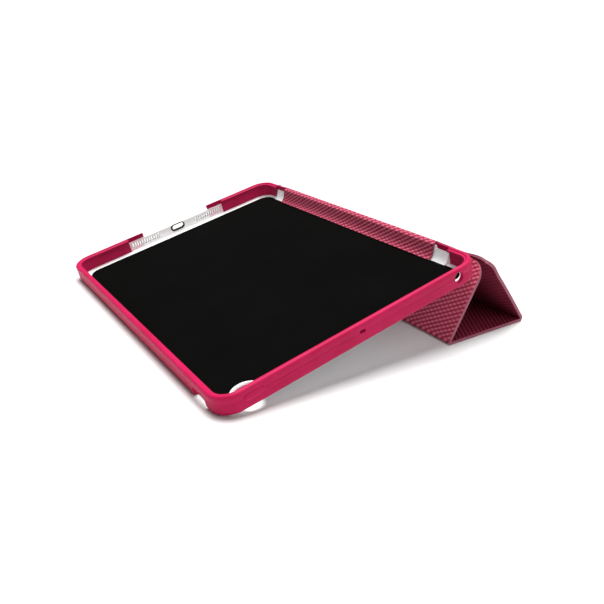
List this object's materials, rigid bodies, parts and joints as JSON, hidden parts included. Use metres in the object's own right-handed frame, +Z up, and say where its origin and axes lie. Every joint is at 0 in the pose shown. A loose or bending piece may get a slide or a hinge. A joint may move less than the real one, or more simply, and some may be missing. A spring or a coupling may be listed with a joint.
{
  "type": "tablet case",
  "caption": "Tablet case: soft-rimmed hard tray with a lined floor, standing on a three-panel folding cover bent into a triangular prop.",
  "frame": {"origin": "middle of the bounding box's base, on the surface the case stands on", "axes": "+X along the long edge towards the side with the power key, -Y towards the low front edge, +Y towards the folded cover, +Z up"},
  "size_m": [0.2466, 0.2149, 0.0515],
  "materials": {
    "bumper_tpu": "satin moulded soft plastic, pink and slightly translucent",
    "frosted_shell": "frosted translucent white",
    "microfibre": "short black nap",
    "woven_lining": "coarse diamond weave, pink",
    "cover_skin": "ribbed artificial leather, pink",
    "fibre_board": "plain stiffener board",
    "magnet_steel": "plated magnet"
  },
  "bodies": {
    "tray": {"back_shell": "frosted_shell", "bumper_main": "bumper_tpu", "bumper_corner": "bumper_tpu", "lining_pad": "microfibre", "spine_strip": "woven_lining", "hinge_root_fold": "woven_lining"},
    "power_key": {"power_key": "bumper_tpu"},
    "hinge_strip": {"hinge_strip": "woven_lining"},
    "outer_panel": {"outer_panel_skin": "cover_skin", "outer_panel_board": "fibre_board", "outer_panel_lining": "woven_lining", "outer_panel_magnet_left": "magnet_steel", "outer_panel_magnet_right": "magnet_steel"},
    "middle_panel": {"middle_panel_skin": "cover_skin", "middle_panel_board": "fibre_board", "middle_panel_lining": "woven_lining", "fold_1_strip": "woven_lining", "fold_2_strip": "woven_lining"},
    "free_panel": {"free_panel_skin": "cover_skin", "free_panel_board": "fibre_board", "free_panel_lining": "woven_lining", "free_panel_magnet_left": "magnet_steel", "free_panel_magnet_right": "magnet_steel"}
  },
  "joints": [
    {"name": "power_key_press", "type": "slide", "parent": "tray", "child": "power_key", "axis": [-1, 0, 0], "range_m": [0, 0.0005], "stiffness_N_per_m": 800},
    {"name": "hinge_root", "type": "hinge", "parent": "tray", "child": "hinge_strip", "pos_m": [0, 0.06313, 0.05154], "axis": [1, 0, 0], "range_deg": [0, 206], "deforming": ["hinge_root_fold"]},
    {"name": "hinge_edge", "type": "hinge", "parent": "hinge_strip", "child": "outer_panel", "pos_m": [0, 0.07059, 0.0465], "axis": [1, 0, 0], "range_deg": [0, 39.5]},
    {"name": "fold_1", "type": "hinge", "parent": "outer_panel", "child": "middle_panel", "pos_m": [0, 0.10503, 0.00245], "axis": [1, 0, 0], "range_deg": [0, 129], "deforming": ["fold_1_strip"]},
    {"name": "fold_2", "type": "hinge", "parent": "middle_panel", "child": "free_panel", "pos_m": [0, 0.04653, 0.00245], "axis": [1, 0, 0], "range_deg": [-58.5, 0], "deforming": ["fold_2_strip"]}
  ],
  "couplings": [
    {"joint": "hinge_edge", "follows": "hinge_root", "ratio": 0.19},
    {"joint": "fold_2", "follows": "fold_1", "ratio": -0.45}
  ]
}
